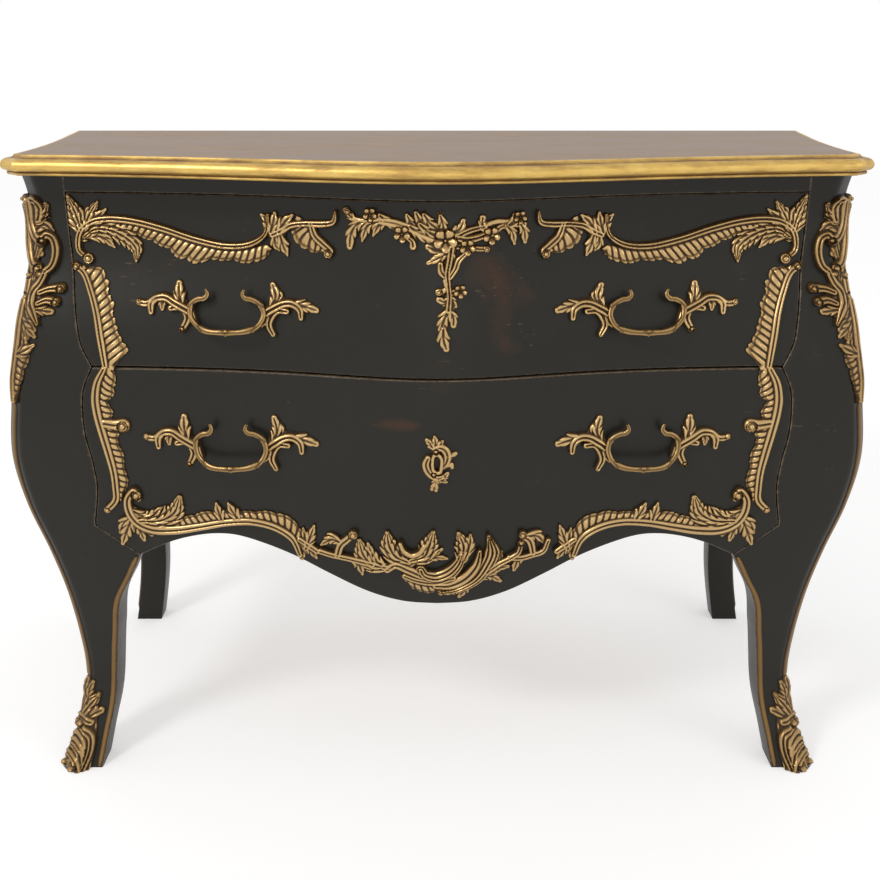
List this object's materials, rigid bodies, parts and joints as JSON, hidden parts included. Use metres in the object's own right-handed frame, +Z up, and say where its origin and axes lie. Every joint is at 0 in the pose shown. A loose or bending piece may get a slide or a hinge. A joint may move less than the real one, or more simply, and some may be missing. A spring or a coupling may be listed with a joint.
{
  "type": "commode chest",
  "caption": "Bombe commode chest on cabriole legs: serpentine drawers with scrolled gilt mounts, bail handles, a lock, shaped top with gilt edge moulding.",
  "frame": {"origin": "on the floor, under the middle of the chest's bounding box", "axes": "+X to the chest's left side as seen from behind it, that is to the viewer's right; -Y is the front with the drawers; +Z up"},
  "size_m": [1.2514, 0.562, 0.88],
  "materials": {
    "lacquer": "black painted wood, satin, rubbed through to brown in places",
    "top_wood": "grey-brown waxed wood with a soft sheen",
    "plain_wood": "bare softwood inside the carcase and drawers",
    "gilt": "antique gilt brass, brown in the recesses",
    "iron": "dull iron lock work"
  },
  "bodies": {
    "carcase": {"top_panel": "top_wood", "top_moulding_front": "gilt", "top_moulding_corner_right": "gilt", "top_moulding_corner_left": "gilt", "top_moulding_side_right": "gilt", "top_moulding_side_left": "gilt", "frieze_rail": "lacquer", "front_post_right": "lacquer", "front_post_left": "lacquer", "back_post_right": "lacquer", "back_post_left": "lacquer", "side_panel_right": "lacquer", "side_panel_left": "lacquer", "back_panel": "plain_wood", "divider_rail": "plain_wood", "rear_rail": "plain_wood", "dust_board": "plain_wood", "bottom_board": "plain_wood", "upper_runner_right": "plain_wood", "upper_runner_left": "plain_wood", "lower_runner_right": "plain_wood", "lower_runner_left": "plain_wood", "chute_mount_right": "gilt", "chute_mount_left": "gilt", "sabot_right": "gilt", "sabot_left": "gilt", "arris_line_right": "gilt", "arris_line_left": "gilt", "inner_leg_line_right": "gilt", "inner_leg_line_left": "gilt", "back_leg_line_right": "gilt", "back_leg_line_left": "gilt"},
    "top_drawer": {"top_drawer_front": "lacquer", "top_drawer_side_right": "plain_wood", "top_drawer_side_left": "plain_wood", "top_drawer_back": "plain_wood", "top_drawer_bottom": "plain_wood", "frieze_mount_left": "gilt", "frieze_mount_right": "gilt", "garland_mount": "gilt", "top_feather_mount_left": "gilt", "top_feather_mount_right": "gilt", "top_handle_left": "gilt", "top_handle_right": "gilt"},
    "bottom_drawer": {"bottom_drawer_front": "lacquer", "bottom_drawer_side_right": "plain_wood", "bottom_drawer_side_left": "plain_wood", "bottom_drawer_back": "plain_wood", "bottom_drawer_bottom": "plain_wood", "bottom_feather_mount_left": "gilt", "bottom_feather_mount_right": "gilt", "scroll_mount_left": "gilt", "scroll_mount_right": "gilt", "cartouche_mount": "gilt", "escutcheon": "gilt", "bottom_handle_left": "gilt", "bottom_handle_right": "gilt", "lock_case": "iron"},
    "lock_bolt": {"lock_bolt": "iron"}
  },
  "joints": [
    {"name": "top_drawer_slide", "type": "slide", "parent": "carcase", "child": "top_drawer", "axis": [0, -1, 0], "range_m": [0, 0.32]},
    {"name": "bottom_drawer_slide", "type": "slide", "parent": "carcase", "child": "bottom_drawer", "axis": [0, -1, 0], "range_m": [0, 0.32]},
    {"name": "lock_bolt_slide", "type": "slide", "parent": "bottom_drawer", "child": "lock_bolt", "axis": [0, 0, 1], "range_m": [0, 0.01]}
  ]
}
